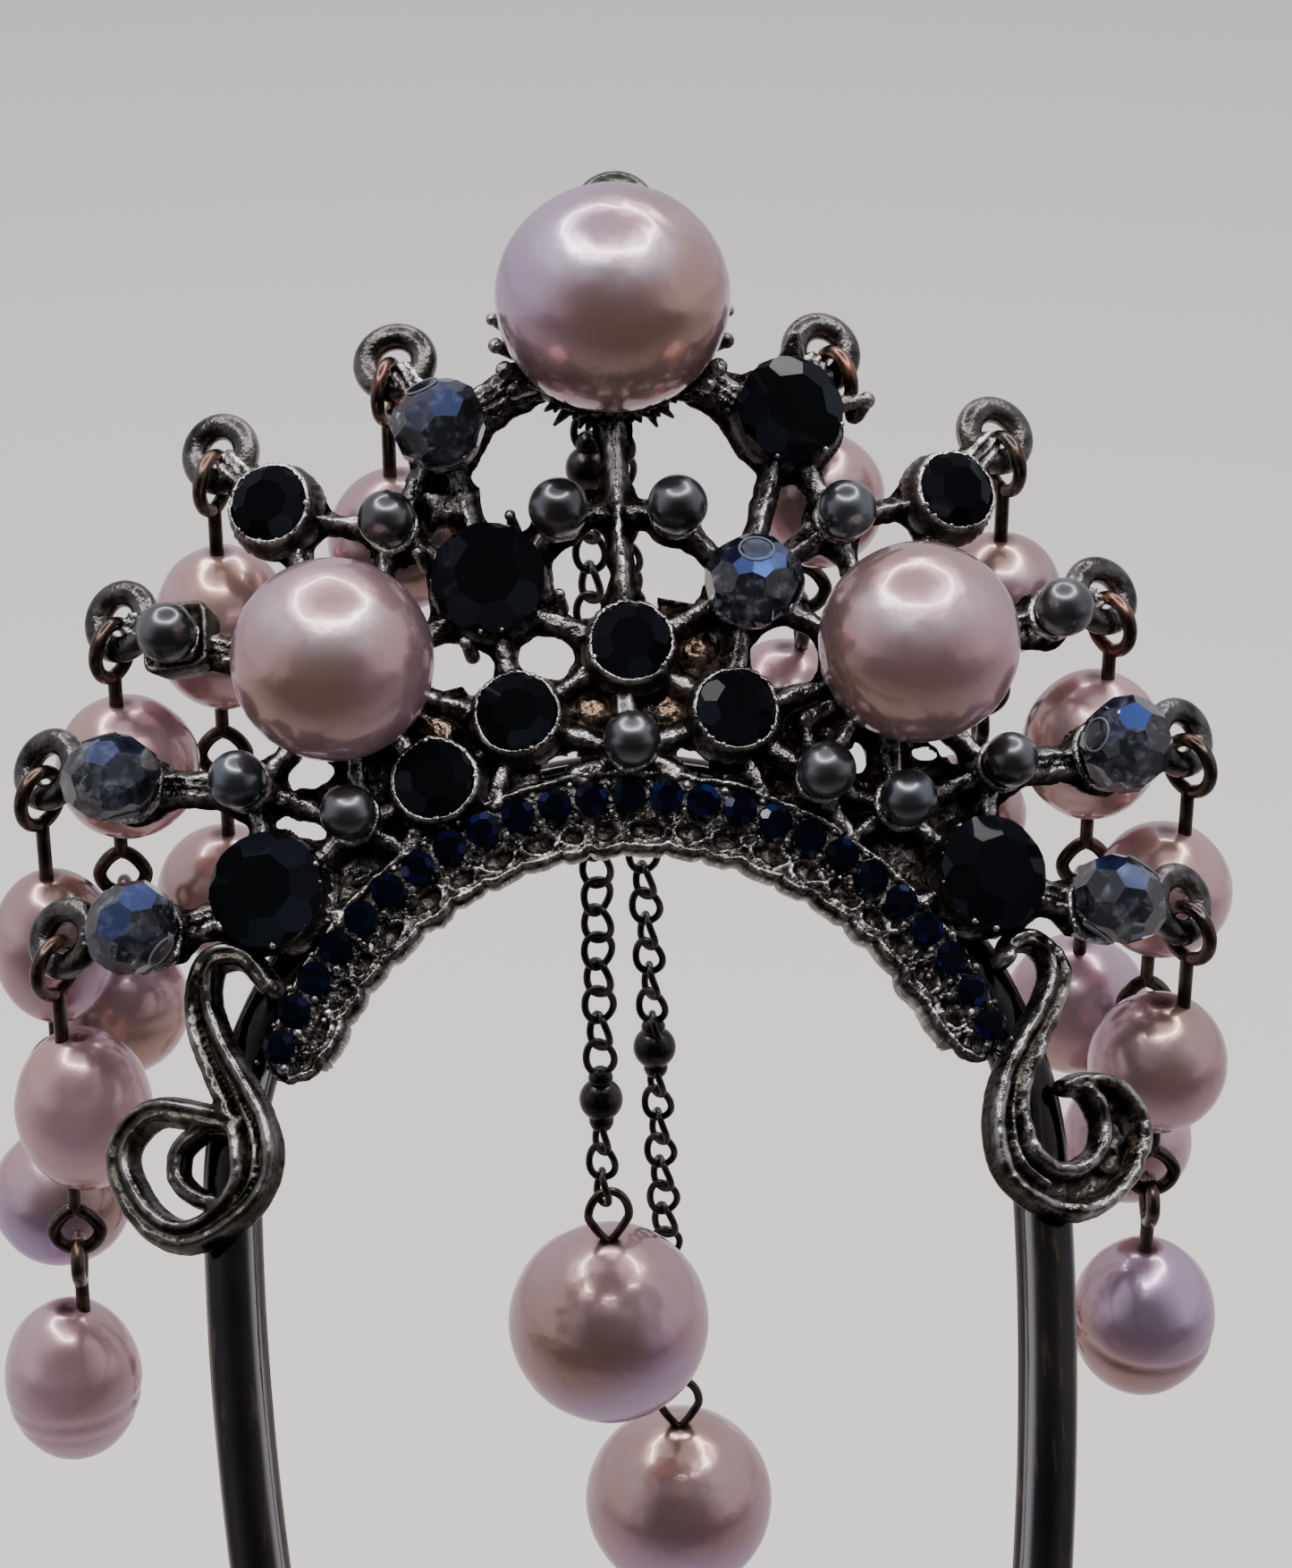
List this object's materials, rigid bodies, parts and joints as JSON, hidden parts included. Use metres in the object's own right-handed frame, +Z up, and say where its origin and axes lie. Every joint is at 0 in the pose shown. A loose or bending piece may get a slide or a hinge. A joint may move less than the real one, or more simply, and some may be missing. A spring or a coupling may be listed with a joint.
{
  "type": "tiara hairpin",
  "caption": "Two-legged hair fork with a cast openwork crown of pearls, cut stones and crystal beads, pearl strings round its edge and two pearl chains.",
  "frame": {"origin": "middle of the fork's arch, between the two legs and in their centre plane, where the hair sits in the fork", "axes": "+Z up as worn, +X to the wearer's left as seen from the front (the picture's right), -Y toward the front; the fork's plane leans back from the vertical by 44 degrees about X"},
  "size_m": [0.0676, 0.0785, 0.1001],
  "materials": {
    "gunmetal": "dark plated cast alloy with rubbed edges",
    "rod_metal": "polished black plated steel rod",
    "mauve_pearl": "lustrous mauve pearl, its wires dark metal worn to copper",
    "grey_pearl": "dark grey glass bead with a pearl coat",
    "navy_glass": "near-black blue cut glass",
    "grey_crystal": "blue-grey cut crystal with a blue coat"
  },
  "bodies": {
    "root": {"crown_casting": "gunmetal", "hair_fork": "rod_metal", "stone_row": "navy_glass", "pearl_top": "mauve_pearl", "pearl_left": "mauve_pearl", "pearl_right": "mauve_pearl", "bead_01": "grey_pearl", "bead_02": "grey_pearl", "bead_03": "grey_pearl", "bead_04": "grey_pearl", "bead_05": "grey_pearl", "bead_06": "grey_pearl", "bead_07": "grey_pearl", "bead_08": "grey_pearl", "bead_09": "grey_pearl", "bead_10": "grey_pearl", "bead_11": "grey_pearl", "bead_12": "grey_pearl", "stone_01": "navy_glass", "stone_02": "navy_glass", "stone_03": "navy_glass", "stone_04": "navy_glass", "stone_05": "navy_glass", "stone_06": "navy_glass", "stone_07": "navy_glass", "stone_08": "navy_glass", "stone_09": "navy_glass", "stone_10": "navy_glass", "crystal_01": "grey_crystal", "crystal_02": "grey_crystal", "crystal_03": "grey_crystal", "crystal_04": "grey_crystal", "crystal_05": "grey_crystal", "crystal_06": "grey_crystal", "string_left_1": "mauve_pearl", "string_left_2": "mauve_pearl", "string_left_3": "mauve_pearl", "string_left_4": "mauve_pearl", "string_left_5": "mauve_pearl", "string_right_1": "mauve_pearl", "string_right_2": "mauve_pearl", "string_right_3": "mauve_pearl", "string_right_4": "mauve_pearl", "string_right_5": "mauve_pearl", "chain_1": "gunmetal", "chain_2": "gunmetal", "chain_pearl_1": "mauve_pearl", "chain_pearl_2": "mauve_pearl"}
  },
  "joints": []
}
